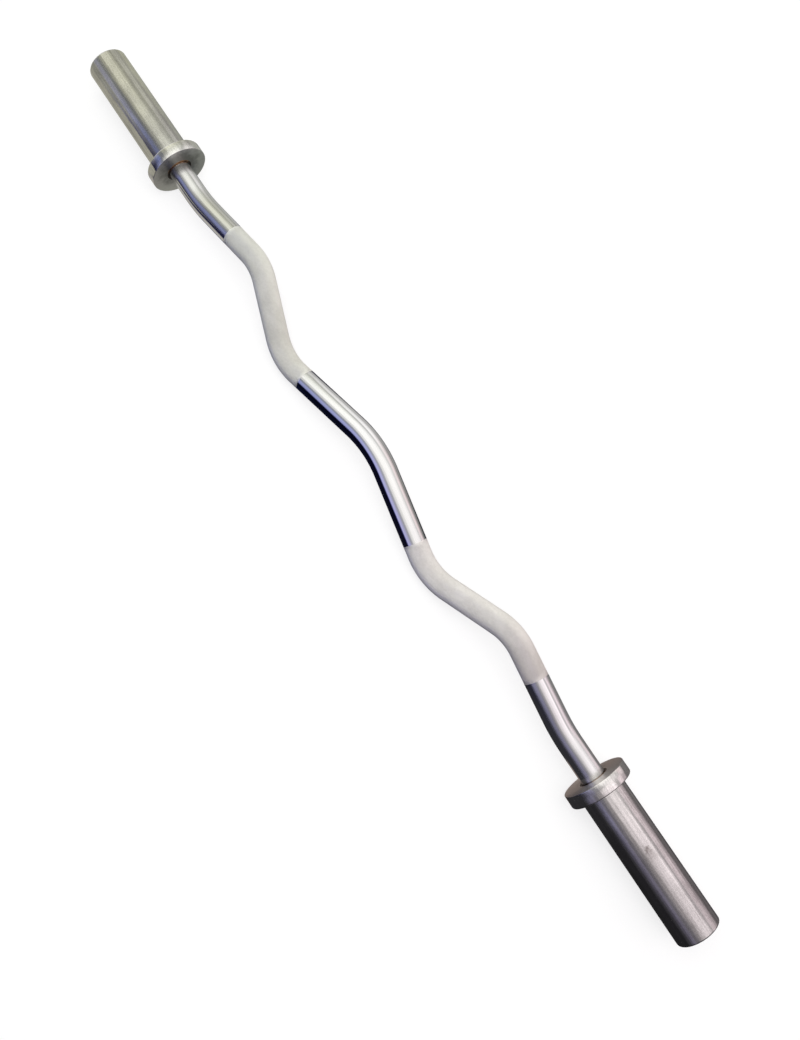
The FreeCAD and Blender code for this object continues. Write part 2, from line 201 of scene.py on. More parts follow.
SHAFT_TIP = along("shaft")[1]
PATH = half_path(SHAFT_TIP)
PATH_LENGTH = sum(length for length, _ in PATH)
BEND_TO_WORLD = Matrix.Translation(UP * AXIS_HEIGHT) @ Matrix.Rotation(rest_lean(PATH), 4, "X")


# Meshes

def new_piece(name, body, replaced, *slots):
    """An empty mesh piece that rides on a body and stands for a node. Its first slot names its finish."""
    piece = bpy.data.objects.new(name, bpy.data.meshes.new(name))
    bpy.context.scene.collection.objects.link(piece)
    for slot in slots:
        piece.data.materials.append(MATERIALS[slot])
    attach(piece, body)
    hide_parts(replaced)
    return piece


def end_piece(side, name, replaced, slot):
    """An empty piece of one end that turns with its sleeve."""
    return new_piece(f"{side}_{name}", f"{side}_sleeve", f"{side}_{replaced}", slot)


def rounded(corners):
    """A closed outline of (along, radius, rounding) corners as points, with an arc at each rounded one."""
    points = []
    for index, (x, r, rounding) in enumerate(corners):
        corner = Vector((x, r))
        if not rounding:
            points.append(corner)
            continue
        back = (Vector(corners[index - 1][:2]) - corner).normalized()
        ahead = (Vector(corners[(index + 1) % len(corners)][:2]) - corner).normalized()
        half_angle = back.angle(ahead) / 2
        centre = corner + (back + ahead).normalized() * (rounding / math.sin(half_angle))
        first = angle_about(corner + back * (rounding / math.tan(half_angle)), centre)
        last = angle_about(corner + ahead * (rounding / math.tan(half_angle)), centre)
        sweep = math.remainder(last - first, math.tau)
        for step in range(ARC_STEPS + 1):
            angle = first + sweep * step / ARC_STEPS
            points.append(centre + rounding * Vector((math.cos(angle), math.sin(angle))))
    return points


def turned(piece, side, corners):
    """Fills a piece's mesh with a closed outline turned about the sleeve axis, on one side of the bar."""
    outline = rounded(corners)
    shape = bmesh.new()
    rings = []
    for x, r in outline:
        ring = []
        for column in range(TURNED_COLUMNS):
            angle = math.tau * column / TURNED_COLUMNS
            height = AXIS_HEIGHT + r * math.cos(angle)
            ring.append(shape.verts.new((SIDES[side] * x, r * math.sin(angle), height)))
        rings.append(ring)
    for ring, following in zip(rings, rings[1:] + rings[:1]):
        for a, b, c, d in zip(ring, ring[1:] + ring[:1], following[1:] + following[:1], following):
            shape.faces.new((a, b, c, d))
    bmesh.ops.remove_doubles(shape, verts=shape.verts, dist=SAME_POINT)
    bmesh.ops.dissolve_degenerate(shape, edges=shape.edges, dist=SAME_POINT)
    bmesh.ops.recalc_face_normals(shape, faces=shape.faces)
    for face in shape.faces:
        face.smooth = True
    shape.to_mesh(piece.data)
    shape.free()
    piece.data.set_sharp_from_angle(angle=SHARP_ANGLE)


# Materials

class Recipe:
    """A material whose nodes are added one at a time and linked as they are made."""

    def __init__(self, name, **shader_values):
        self.material = bpy.data.materials.new(name)
        self.material.use_nodes = True
        self.tree = self.material.node_tree
        self.shader = self.tree.nodes["Principled BSDF"]
        for socket, value in shader_values.items():
            self.shader.inputs[socket.replace("_", " ")].default_value = value
        self.place = self.add("ShaderNodeTexCoord").outputs["Object"]

    def add(self, kind, inputs=None, **settings):
        """Adds a node, sets it up, and links or fills its inputs."""
        node = self.tree.nodes.new(kind)
        for name, value in settings.items():
            setattr(node, name, value)
        for key, value in (inputs or {}).items():
            if isinstance(value, bpy.types.NodeSocket):
                self.tree.links.new(value, node.inputs[key])
            else:
                node.inputs[key].default_value = value
        return node

    def part(self, axis, vector=None):
        """One part of the place on the piece, or of another vector."""
        return self.add("ShaderNodeSeparateXYZ", {"Vector": vector or self.place}).outputs[axis]

    def brushed_round(self):
        """Lets highlights stretch along the bar, as marks that run round it make them do."""
        tangent = self.add("ShaderNodeTangent", direction_type="RADIAL", axis="X").outputs["Tangent"]
        self.tree.links.new(tangent, self.shader.inputs["Tangent"])

    def stretched(self, x, y, z):
        """The place on the piece, scaled along each axis."""
        return self.add("ShaderNodeMapping", {"Vector": self.place, "Scale": (x, y, z)}).outputs["Vector"]

    def noise(self, scale, place=None, detail=4.0, roughness=0.55):
        inputs = {"Vector": place or self.place, "Scale": scale, "Detail": detail, "Roughness": roughness}
        return self.add("ShaderNodeTexNoise", inputs).outputs["Fac"]

    def lines_across(self, lines_per_metre, detail=2.0):
        """Noise that changes only along the bar, as the marks of a turning tool do."""
        inputs = {"W": self.part("X"), "Scale": lines_per_metre, "Detail": detail}
        return self.add("ShaderNodeTexNoise", inputs, noise_dimensions="1D").outputs["Fac"]

    def ranged(self, value, low, high, new_low, new_high, kind="LINEAR"):
        """A value moved from one range to another and held inside it."""
        inputs = {"Value": value, "From Min": low, "From Max": high, "To Min": new_low, "To Max": new_high}
        return self.add("ShaderNodeMapRange", inputs, interpolation_type=kind).outputs["Result"]

    def mixed(self, share, first, second, blend="MIX"):
        """A colour between two, each a colour or a socket."""
        node = self.add("ShaderNodeMix", {"Factor": share}, data_type="RGBA", blend_type=blend)
        for name, value in (("A", first), ("B", second)):
            socket = next(s for s in node.inputs if s.name == name and s.type == "RGBA")
            if isinstance(value, bpy.types.NodeSocket):
                self.tree.links.new(value, socket)
            else:
                socket.default_value = (*value, 1)
        return next(s for s in node.outputs if s.type == "RGBA")

    def product(self, first, second):
        """Two colours multiplied, each a colour or a socket."""
        return self.mixed(1.0, first, second, "MULTIPLY")

    def sum_of(self, first, second, operation="ADD"):
        """Two values added, or put together by another operation."""
        return self.add("ShaderNodeMath", {0: first, 1: second}, operation=operation).outputs["Value"]

    def finish(self, colour, roughness, height, height_step):
        """Links what varies to the shader. The height is a bump of that many metres."""
        bump = self.add("ShaderNodeBump", {"Height": height, "Distance": height_step})
        varied = {"Base Color": colour, "Roughness": roughness, "Normal": bump.outputs["Normal"]}
        for socket, value in varied.items():
            self.tree.links.new(value, self.shader.inputs[socket])
        return self.material


def colour_along(recipe, value, places, colours):
    """A colour that changes with a value, from a colour at each of some places."""
    low, high = places[0], places[-1]
    ramp = recipe.add("ShaderNodeValToRGB", {"Fac": recipe.ranged(value, low, high, 0, 1)})
    elements = ramp.color_ramp.elements
    while len(elements) < len(colours):
        elements.new(0.5)
    for element, place, colour in zip(elements, places, colours):
        element.position = (place - low) / (high - low)
        element.color = (*colour, 1)
    return ramp.outputs["Color"]


def radius_about_axis(recipe, height=AXIS_HEIGHT):
    """The distance from a line along the bar at some height, the sleeve axis or another."""
    flat = recipe.add("ShaderNodeMapping", {
        "Vector": recipe.place, "Location": (0, 0, -height), "Scale": (0, 1, 1)}).outputs["Vector"]
    return recipe.add("ShaderNodeVectorMath", {0: flat}, operation="LENGTH").outputs["Value"]


def rings_about_axis(recipe, rings_per_metre):
    """Noise that changes only with the distance from the sleeve axis."""
    inputs = {"W": radius_about_axis(recipe), "Scale": rings_per_metre, "Detail": 2.0}
    return recipe.add("ShaderNodeTexNoise", inputs, noise_dimensions="1D").outputs["Fac"]


# Where most of a noise lies, and where its middle part does
SPREAD = (0.3, 0.7)
MIDDLE = (0.35, 0.65)

CHROME_TONES = ((0.75, 0.75, 0.755), (0.81, 0.81, 0.81))
CHROME_ROUGHNESS = (0.12, 0.17)
CHROME_SMEARS = 38
POLISHING_LINES = 2600
POLISHING_DEPTH = 0.000002


def make_chrome():
    """Bright chrome with faint smears and the finest polishing marks round the bar."""
    recipe = Recipe("shaft_chrome", Metallic=1.0, Anisotropic=0.9, Anisotropic_Rotation=0.25)
    recipe.brushed_round()
    smears = recipe.noise(CHROME_SMEARS, recipe.stretched(0.35, 1, 1), detail=5)
    colour = recipe.mixed(recipe.ranged(smears, *MIDDLE, 0, 1), *CHROME_TONES)
    roughness = recipe.ranged(smears, 0.35, 0.75, *CHROME_ROUGHNESS)
    return recipe.finish(colour, roughness, recipe.lines_across(POLISHING_LINES), POLISHING_DEPTH)


# How the grips' tone changes along the bar: painted light, a yellow-green cast at the left, a pink one at
# the right, and painted shade at both ends
GRIP_PAINTED_CAST = {
    -0.32: (0.82, 0.83, 0.80),
    -0.23: (0.90, 0.905, 0.86),
    -0.13: (0.92, 0.92, 0.88),
    0.15: (1.0, 0.985, 0.97),
    0.23: (1.0, 0.985, 0.96),
    0.32: (0.74, 0.70, 0.685),
}
KNURL_TIPS = ((0.86, 0.86, 0.84), (1.0, 1.0, 0.99))
# Painted shade for the knurl's grooves, and how much of it the deepest points take
KNURL_GROOVE_SHADE = (0.62, 0.615, 0.60)
GROOVE_SHADE_SHARE = 0.4
KNURL_ROUGHNESS = (0.66, 0.52)
KNURL_PATCHES = 40
KNURL_SPECKLE = 300
SPECKLE_DEPTH = 0.00005


def make_knurl():
    """Matt white chrome of the knurled grips, rubbed in patches, with painted shade in its grooves and a
    painted colour cast along them.
    """
    recipe = Recipe("knurl_chrome", Metallic=0.8)
    groove = recipe.add("ShaderNodeAttribute", attribute_name="groove").outputs["Fac"]
    patches = recipe.noise(KNURL_PATCHES, recipe.stretched(0.6, 1, 1), detail=5)
    speckle = recipe.noise(KNURL_SPECKLE, detail=4, roughness=0.7)
    tone = recipe.sum_of(patches, recipe.ranged(speckle, 0.25, 0.75, -0.2, 0.2))
    tips = recipe.mixed(recipe.ranged(tone, 0.25, 0.65, 0, 1), *KNURL_TIPS)
    # Painted shade: the grooves' sunken points take a darker colour
    colour = recipe.mixed(recipe.ranged(groove, 0, 1, 0, GROOVE_SHADE_SHARE), tips, KNURL_GROOVE_SHADE)
    # Painted light: the lamps' colour cast along the grips, and painted shade towards their ends
    grips = colour_along(recipe, recipe.part("X"), list(GRIP_PAINTED_CAST), list(GRIP_PAINTED_CAST.values()))
    roughness = recipe.ranged(patches, *MIDDLE, *KNURL_ROUGHNESS)
    return recipe.finish(recipe.product(colour, grips), roughness, speckle, SPECKLE_DEPTH)


# What makes turned steel uneven: noise scales, and how much each adds to its tone
TURNING_LINES = 1500
TURNING_SHARE = 0.10
TURNING_DEPTH = 0.000005
RUB_SHARE = 0.30
BLOTCHES = 48
BLOTCH_SHARE = 0.30
GRAIN = 1000
GRAIN_SHARE = 0.25
POLISH_SPREAD = 0.08
WAVE_DEPTH = 0.00022


def turned_steel(name, low, high, roughness):
    """Satin steel with turning marks round it, rub marks along it, blotches and an uneven polish."""
    recipe = Recipe(name, Metallic=1.0, Anisotropic=0.6, Anisotropic_Rotation=0.25)
    recipe.brushed_round()

    def uneven(noise, share):
        return recipe.ranged(noise, *SPREAD, -share, share)

    marks = uneven(recipe.lines_across(TURNING_LINES, detail=3), TURNING_SHARE)
    rubs = uneven(recipe.noise(1, recipe.stretched(9, 330, 330), detail=4), RUB_SHARE)
    blotches = uneven(recipe.noise(BLOTCHES, recipe.stretched(0.6, 1, 1), detail=6), BLOTCH_SHARE)
    grain = uneven(recipe.noise(GRAIN, recipe.stretched(0.5, 1, 1), detail=2), GRAIN_SHARE)
    tone = recipe.sum_of(recipe.sum_of(marks, rubs), recipe.sum_of(blotches, grain))
    colour = recipe.mixed(recipe.ranged(tone, -0.6, 0.6, 0, 1), low, high)
    polish = recipe.sum_of(blotches, rubs)
    dull = recipe.ranged(polish, -0.5, 0.5, roughness + POLISH_SPREAD, roughness - POLISH_SPREAD)
    waves = recipe.noise(1, recipe.stretched(20, 110, 110), detail=3)
    ridges = recipe.ranged(marks, -TURNING_SHARE, TURNING_SHARE, 0, TURNING_DEPTH)
    return recipe, colour, dull, recipe.sum_of(recipe.ranged(waves, 0, 1, 0, WAVE_DEPTH), ridges)


# The sleeves' tones, and the stain on the right one: spots along the bar and across it, from where each
# starts to fade to where it is gone, and its strength
SLEEVE_TONES = ((0.42, 0.41, 0.40), (0.80, 0.79, 0.77))
SLEEVE_ROUGHNESS = 0.16
STAIN_SPOTS = [
    (0.5002, -0.0030, 0.0004, 0.0036, 0.75),
    (0.5030, -0.0026, 0.001, 0.0045, 0.55),
    (0.5085, -0.0022, 0.001, 0.0075, 0.30),
]
STAIN_COLOUR = (0.20, 0.18, 0.165)
STAIN_WOBBLE = 0.0012


def make_sleeve_steel():
    """The sleeves' steel, with one small soft stain on the right sleeve."""
    recipe, colour, roughness, height = turned_steel("sleeve_steel", *SLEEVE_TONES, SLEEVE_ROUGHNESS)
    wobble = recipe.ranged(recipe.noise(420, detail=3), *SPREAD, -STAIN_WOBBLE, STAIN_WOBBLE)
    for x, y, full, gone, strength in STAIN_SPOTS:
        ends = {0: recipe.place, 1: Vector((x, y, AXIS_HEIGHT + SLEEVE_RADIUS))}
        away = recipe.add("ShaderNodeVectorMath", ends, operation="DISTANCE").outputs["Value"]
        stain = recipe.ranged(recipe.sum_of(away, wobble), full, gone, strength, 0.0)
        colour = recipe.mixed(stain, colour, STAIN_COLOUR)
    return recipe.finish(colour, roughness, height, 1.0)


# The collars' rims, and their faces. The left face is painted darker and greener than the right one, as
# painted shade and a colour cast of the light, and has more painted shade round the bushing, from where it
# is full to where it is gone about a line over the sleeve axis.
RIM_TONES = ((0.50, 0.49, 0.475), (0.90, 0.89, 0.865))
RIM_ROUGHNESS = 0.13
FACE_RING_TONES = ((0.64, 0.605, 0.585), (0.84, 0.80, 0.775))
FACE_SIDE_SHADE = {-0.4: (0.70, 0.745, 0.725), 0.4: (1.0, 1.0, 1.0)}
FACE_ROUGHER = 0.34
FACE_RINGS = 1700
FACE_RING_DEPTH = 0.000012
# Painted shade round the hole: its strength on the left and right faces, its centre, reach, edge wobble and
# colour
HOLE_SHADE_STRENGTHS = (0.75, 0.06)
HOLE_SHADE_CENTRE = AXIS_HEIGHT + 0.005
HOLE_SHADE_REACH = (0.017, 0.034)
HOLE_SHADE_WOBBLE = 0.004
HOLE_SHADE_COLOUR = (0.13, 0.13, 0.115)


def make_collar_steel():
    """The collars' steel: a satin rim, and duller faces with rings from the facing tool and painted shade
    round the hole.
    """
    recipe, colour, roughness, height = turned_steel("collar_steel", *RIM_TONES, RIM_ROUGHNESS)
    across = recipe.part("X", recipe.add("ShaderNodeNewGeometry").outputs["Normal"])
    face = recipe.ranged(recipe.sum_of(across, 0.0, "ABSOLUTE"), 0.6, 0.9, 0, 1)
    rings = rings_about_axis(recipe, FACE_RINGS)
    x = recipe.part("X")
    # Painted shade and colour cast: the left face darker and greener than the right one
    tones = colour_along(recipe, x, list(FACE_SIDE_SHADE), list(FACE_SIDE_SHADE.values()))
    faced = recipe.product(recipe.mixed(rings, *FACE_RING_TONES), tones)
    # Painted shade round the bushing's hole, centred a little over the sleeve axis and strongest on the left
    # face
    shade_edge_wobble = recipe.ranged(recipe.noise(130, detail=4), *SPREAD, -HOLE_SHADE_WOBBLE, HOLE_SHADE_WOBBLE)
    away = recipe.sum_of(radius_about_axis(recipe, HOLE_SHADE_CENTRE), shade_edge_wobble)
    hole_shade = recipe.ranged(away, *HOLE_SHADE_REACH, 1, 0, "SMOOTHSTEP")
    hole_shade = recipe.sum_of(hole_shade, recipe.ranged(x, *FACE_SIDE_SHADE, *HOLE_SHADE_STRENGTHS), "MULTIPLY")
    colour = recipe.mixed(face, colour, recipe.mixed(hole_shade, faced, HOLE_SHADE_COLOUR))
    roughness = recipe.sum_of(roughness, recipe.ranged(face, 0, 1, 0, FACE_ROUGHER))
    ridges = recipe.sum_of(recipe.ranged(rings, 0, 1, 0, FACE_RING_DEPTH), face, "MULTIPLY")
    return recipe.finish(colour, roughness, recipe.sum_of(height, ridges), 1.0)


FACING_RINGS = 1900
FACING_DEPTH = 0.00001


def faced_metal(name, low, high, dull, bright):
    """Plain metal with rings from the facing tool and a little mottling."""
    recipe = Recipe(name, Metallic=1.0)
    rings = rings_about_axis(recipe, FACING_RINGS)
    mottling = recipe.noise(90, detail=5)
    tone = recipe.ranged(recipe.sum_of(rings, mottling), 0.7, 1.3, 0, 1)
    roughness = recipe.ranged(mottling, *SPREAD, dull, bright)
    return recipe.finish(recipe.mixed(tone, low, high), roughness, rings, FACING_DEPTH)


# Bronze with painted light, shaded dark in its lower part and lit bright on top, and the heights over the
# sleeve axis where it changes
BRONZE_SHADED_TO_LIT = ((0.035, 0.028, 0.022), (0.30, 0.165, 0.075))
BRONZE_ROUGHNESS = (0.48, 0.32)
BRONZE_LIT_HEIGHTS = (0.004, 0.014)
BRONZE_WOBBLE = 0.006


def make_bronze():
    """Bronze with painted light: painted shade below, and bright only along the top, as if lit from above.
    """
    recipe = Recipe("bronze", Metallic=1.0)
    mottling = recipe.noise(300, detail=4)
    wobble = recipe.ranged(mottling, *SPREAD, -BRONZE_WOBBLE, BRONZE_WOBBLE)
    height = recipe.sum_of(recipe.part("Z"), wobble)
    # Painted light: lit along the top, painted shade below
    lit_share = recipe.ranged(height, *(AXIS_HEIGHT + over for over in BRONZE_LIT_HEIGHTS), 0, 1)
    roughness = recipe.ranged(mottling, *SPREAD, *BRONZE_ROUGHNESS)
    rings = rings_about_axis(recipe, FACING_RINGS)
    return recipe.finish(recipe.mixed(lit_share, *BRONZE_SHADED_TO_LIT), roughness, rings, FACING_DEPTH)


SPRING_TONES = ((0.045, 0.045, 0.05), (0.10, 0.10, 0.105))
SPRING_ROUGHNESS = (0.42, 0.6)
SPRING_GRAIN_DEPTH = 0.000015


def make_spring_steel():
    """Black phosphated spring steel: fine-grained and nearly matt."""
    recipe = Recipe("spring_steel", Metallic=0.6)
    grain = recipe.noise(3200, detail=3)
    mottling = recipe.noise(210, detail=5)
    colour = recipe.mixed(recipe.ranged(mottling, *MIDDLE, 0, 1), *SPRING_TONES)
    roughness = recipe.ranged(mottling, *SPREAD, *SPRING_ROUGHNESS)
    return recipe.finish(colour, roughness, grain, SPRING_GRAIN_DEPTH)


MATERIALS = {
    "shaft_chrome": make_chrome(),
    "knurl_chrome": make_knurl(),
    "sleeve_steel": make_sleeve_steel(),
    "collar_steel": make_collar_steel(),
    "plug_steel": faced_metal("plug_steel", (0.42, 0.42, 0.42), (0.60, 0.60, 0.59), 0.42, 0.30),
    "bronze": make_bronze(),
    "washer_steel": faced_metal("washer_steel", (0.40, 0.40, 0.40), (0.56, 0.56, 0.56), 0.40, 0.28),
    "spring_steel": make_spring_steel(),
}


# Pieces

def shaft_rows():
    """Rings of the shaft's right half, outwards: length along it, radius, knurl row or None, and depth."""
    rows = []
    s = 0.0
    while s < KNURL_START:
        rows.append((s, SHAFT_RADIUS, None, 0))
        s += PLAIN_ROW_STEP
    band = KNURL_END - KNURL_START
    half_pitch = math.tau * SHAFT_RADIUS / KNURL_STARTS / math.tan(KNURL_LEAN) / 2
    count = round(band / half_pitch)
    for row in range(count + 1):
        inside = band * row / count
        share = min(1, inside / KNURL_RUN_OUT, (band - inside) / KNURL_RUN_OUT)
        rows.append((KNURL_START + inside, SHAFT_RADIUS, row, KNURL_DEPTH * share))
    shoulder = PATH_LENGTH - SHAFT_TIP + along("left_inner_thrust_washer")[0]
    s = KNURL_END + PLAIN_ROW_STEP
    while s < shoulder:
        rows.append((s, SHAFT_RADIUS, None, 0))
        s += PLAIN_ROW_STEP
    return rows + journal_rows(shoulder)


def journal_rows(shoulder):
    """The shaft's turned-down end, with the retaining ring's groove and a chamfered tip."""
    offset = PATH_LENGTH - SHAFT_TIP
    groove_in, groove_out = (offset + x for x in along("left_retaining_ring"))
    outline = [
        (shoulder, SHAFT_RADIUS),
        (shoulder, JOURNAL_RADIUS),
        (groove_in, JOURNAL_RADIUS),
        (groove_in, JOURNAL_GROOVE_RADIUS),
        (groove_out, JOURNAL_GROOVE_RADIUS),
        (groove_out, JOURNAL_RADIUS),
        (PATH_LENGTH - JOURNAL_EDGE, JOURNAL_RADIUS),
        (PATH_LENGTH, JOURNAL_RADIUS - JOURNAL_EDGE),
    ]
    return [(s, radius, None, 0) for s, radius in outline]


def shaft_ring(s, radius, knurl_row, depth):
    """One ring of the shaft's points, and how deep in a groove each of them lies."""
    spot, heading = spot_on(PATH, s)
    points = []
    grooves = []
    for column in range(COLUMNS):
        crossing = knurl_row is not None and (column + knurl_row) % 2 == 0
        r = radius - depth * crossing
        turn = math.tau * column / COLUMNS
        out = r * math.cos(turn)
        x, y = spot.x - out * math.sin(heading), spot.y + out * math.cos(heading)
        points.append(BEND_TO_WORLD @ Vector((x, y, r * math.sin(turn))))
        grooves.append(crossing * depth / KNURL_DEPTH)
    return points, grooves


def make_shaft():
    """The bent shaft. Each diamond of its knurling is a pyramid of four faces."""
    right = shaft_rows()
    rows = [(-row[0], *row[1:]) for row in reversed(right[1:])] + right
    piece = new_piece("shaft_bar", "shaft", "shaft", "shaft_chrome", "knurl_chrome")
    points = []
    grooves = []
    for row in rows:
        ring, sunk = shaft_ring(*row)
        points += ring
        grooves += sunk
    faces = []
    knurled = []
    for index, ((_, _, near, _), (_, _, far, _)) in enumerate(zip(rows, rows[1:])):
        for column in range(COLUMNS):
            following = (column + 1) % COLUMNS
            a, b = index * COLUMNS + column, index * COLUMNS + following
            d, c = a + COLUMNS, b + COLUMNS
            if near is None or far is None:
                faces.append((a, b, c, d))
                knurled.append(False)
                continue
            faces += [(a, b, c), (a, c, d)] if (column + near) % 2 == 0 else [(a, b, d), (b, c, d)]
            knurled += [True, True]
    last = (len(rows) - 1) * COLUMNS
    faces.append(tuple(range(COLUMNS))[::-1])
    faces.append(tuple(range(last, last + COLUMNS)))
    knurled += [False, False]
    piece.data.from_pydata(points, [], faces)
    for face, is_knurl in zip(piece.data.polygons, knurled):
        face.material_index = int(is_knurl)
        face.use_smooth = not is_knurl
    groove = piece.data.attributes.new("groove", "FLOAT", "POINT")
    groove.data.foreach_set("value", grooves)
    face_outwards(piece)


def face_outwards(piece):
    """Turns every face's front outwards and marks the sharp edges of what is smooth."""
    shape = bmesh.new()
    shape.from_mesh(piece.data)
    bmesh.ops.recalc_face_normals(shape, faces=shape.faces)
    for edge in shape.edges:
        edge.smooth = edge.calc_face_angle(0) < SHARP_ANGLE
    shape.to_mesh(piece.data)
    shape.free()


def make_collar(side):
    start, end = along(f"{side}_collar")
    sleeve_start, _ = along(f"{side}_sleeve")
    socket = radius_of(f"{side}_sleeve") + PRESS_GAP
    hole = radius_of(f"{side}_inner_bushing") + PRESS_GAP
    rim = radius_of(f"{side}_collar")
    piece = end_piece(side, "collar_ring", "collar", "collar_steel")
    turned(piece, side, [
        (start, hole, COLLAR_HOLE_EDGE),
        (start, rim, COLLAR_FRONT_EDGE),
        (end, rim, COLLAR_BACK_EDGE),
        (end, socket, 0),
        (sleeve_start, socket, 0),
        (sleeve_start, hole, 0),
    ])


def make_sleeve(side):
    start, end = along(f"{side}_sleeve")
    _, seat_end = along(f"{side}_collar")
    seat = radius_of(f"{side}_sleeve")
    bushing = radius_of(f"{side}_inner_bushing") + PRESS_GAP
    _, inner_end = along(f"{side}_inner_bushing")
    outer_start, _ = along(f"{side}_outer_bushing")
    plug = radius_of(f"{side}_end_plug") + PRESS_GAP
    plug_start, _ = along(f"{side}_end_plug")
    groove = radius_of(f"{side}_end_snap_ring") + PRESS_GAP
    groove_in, groove_out = along(f"{side}_end_snap_ring")
    piece = end_piece(side, "sleeve_tube", "sleeve", "sleeve_steel")
    turned(piece, side, [
        (start, bushing, 0),
        (start, seat, SMALL_EDGE),
        (seat_end, seat, 0),
        (seat_end, SLEEVE_RADIUS, 0),
        (end, SLEEVE_RADIUS, SLEEVE_END_EDGE),
        (end, plug + SLEEVE_MOUTH_EDGE, SMALL_EDGE),
        (end - SLEEVE_MOUTH_EDGE, plug, 0),
        (groove_out, plug, 0),
        (groove_out, groove, 0),
        (groove_in, groove, 0),
        (groove_in, plug, 0),
        (plug_start, plug, 0),
        (plug_start, bushing, 0),
        (outer_start, bushing, 0),
        (outer_start, SLEEVE_BORE_RADIUS, 0),
        (inner_end, SLEEVE_BORE_RADIUS, 0),
        (inner_end, bushing, 0),
    ])


def make_bushing(side):
    """The bronze ring that shows in the collar's hole."""
    start, end = along(f"{side}_inner_bushing")
    rim = radius_of(f"{side}_inner_bushing")
    bore = SHAFT_RADIUS + RUNNING_GAP
    piece = end_piece(side, "bushing_ring", "inner_bushing", "bronze")
    turned(piece, side, [
        (start, bore, BUSHING_MOUTH),
        (start, rim, BUSHING_EDGE),
        (end, rim, BUSHING_EDGE),
        (end, bore, SMALL_EDGE),
    ])


def make_plug(side):
    start, end = along(f"{side}_end_plug")
    rim = radius_of(f"{side}_end_plug")
    piece = end_piece(side, "plug_disc", "end_plug", "plug_steel")
    turned(piece, side, [
        (start, 0, 0),
        (start, rim, PLUG_EDGE),
        (end, rim, PLUG_EDGE),
        (end, 0, 0),
    ])


def finish_nodes():
    """Gives each node of the frame the material of its slot."""
    for subpart in frame["record"]["subparts"]:
        node = frame["nodes"][subpart["node"]]
        node.data.materials.clear()
        node.data.materials.append(MATERIALS[subpart["material_slot"]])


# Stage

def emission(name, colour_of):
    """A material that only gives off light. Its colour comes from a function that adds to a recipe."""
    recipe = Recipe(name)
    output = recipe.tree.nodes["Material Output"]
    recipe.tree.nodes.remove(recipe.shader)
    light = recipe.add("ShaderNodeEmission", {"Color": colour_of(recipe), "Strength": BRIGHTEST})
    recipe.tree.links.new(light.outputs["Emission"], output.inputs["Surface"])
    return recipe.material


# The studio's size. The camera's place along the bar tells which part of the studio the metal mirrors.
CAMERA_X = 0.2
STAGE_HALF_LENGTH = 2.4
STAGE_RADIUS = 1.35
WALL_STEPS = 24
WALL_HALF_TURN = math.radians(92)
BRIGHTEST = 1.45

# The studio as the metal mirrors it: bands of light and shade on a wall bent round the bar. Each band has
# the angles in degrees that it covers about the bar, from straight up towards +Y, its tint, and its
# brightness at each zone from left to right. The zones are places along the bar, and the bands turn about it
# by an angle that changes with the zone.
ZONES = (-0.58, -0.43, -0.35, -0.08, 0.12, 0.33, 0.415, 0.437, 0.52)
ZONE_TURNS = (2, -5, 8, 9, 7, -2, -16, 4, 1)
WALL_BANDS = {
    "dark_side": (-180, -95, "navy", (0.46, 0.02, 0.004, 0.004, 0.006, 0.03, 0.04, 0.03, 0.022)),
    "curtain_edge": (-86, -82, "navy", (0.48, 0.03, 0.03, 0.09, 0.14, 0.06, 0.05, 0.05, 0.05)),
    "low_curtain": (-73, -69, "blue", (0.48, 0.18, 0.18, 0.45, 0.66, 0.26, 0.12, 0.22, 0.11)),
    "high_curtain": (-61, -57, "blue", (0.40, 0.26, 0.34, 0.50, 0.58, 0.36, 0.24, 0.31, 0.21)),
    "lower_gap": (-48, -42, "grey", (0.25, 0.20, 0.25, 0.38, 0.46, 0.40, 0.21, 0.21, 0.20)),
    "softbox_edge": (-30, -26, "plain", (0.42, 0.40, 0.72, 0.92, 0.96, 0.92, 0.40, 0.42, 0.38)),
    "softbox": (-12, -4, "plain", (0.95, 0.82, 1.32, 1.28, 1.26, 1.25, 0.92, 1.04, 0.78)),
    "softbox_core": (6, 17, "plain", (0.92, 0.82, 1.36, 1.28, 1.28, 1.30, 1.12, 1.30, 1.08)),
    "softbox_far": (27, 31, "plain", (0.62, 0.68, 1.08, 1.10, 1.16, 1.12, 1.22, 1.44, 1.28)),
    "upper_gap": (43, 48, "plain", (0.44, 0.50, 0.58, 0.74, 0.84, 0.86, 0.66, 0.60, 0.58)),
    "window": (57, 68, "rose", (0.60, 0.58, 1.15, 1.25, 1.06, 1.05, 0.92, 1.10, 0.95)),
    "far_window": (80, 84, "rose", (0.50, 0.34, 1.0, 0.90, 0.66, 0.62, 0.62, 0.55, 0.50)),
    "far_wall": (97, 180, "rose", (0.48, 0.32, 0.55, 0.50, 0.32, 0.28, 0.28, 0.24, 0.20)),
}
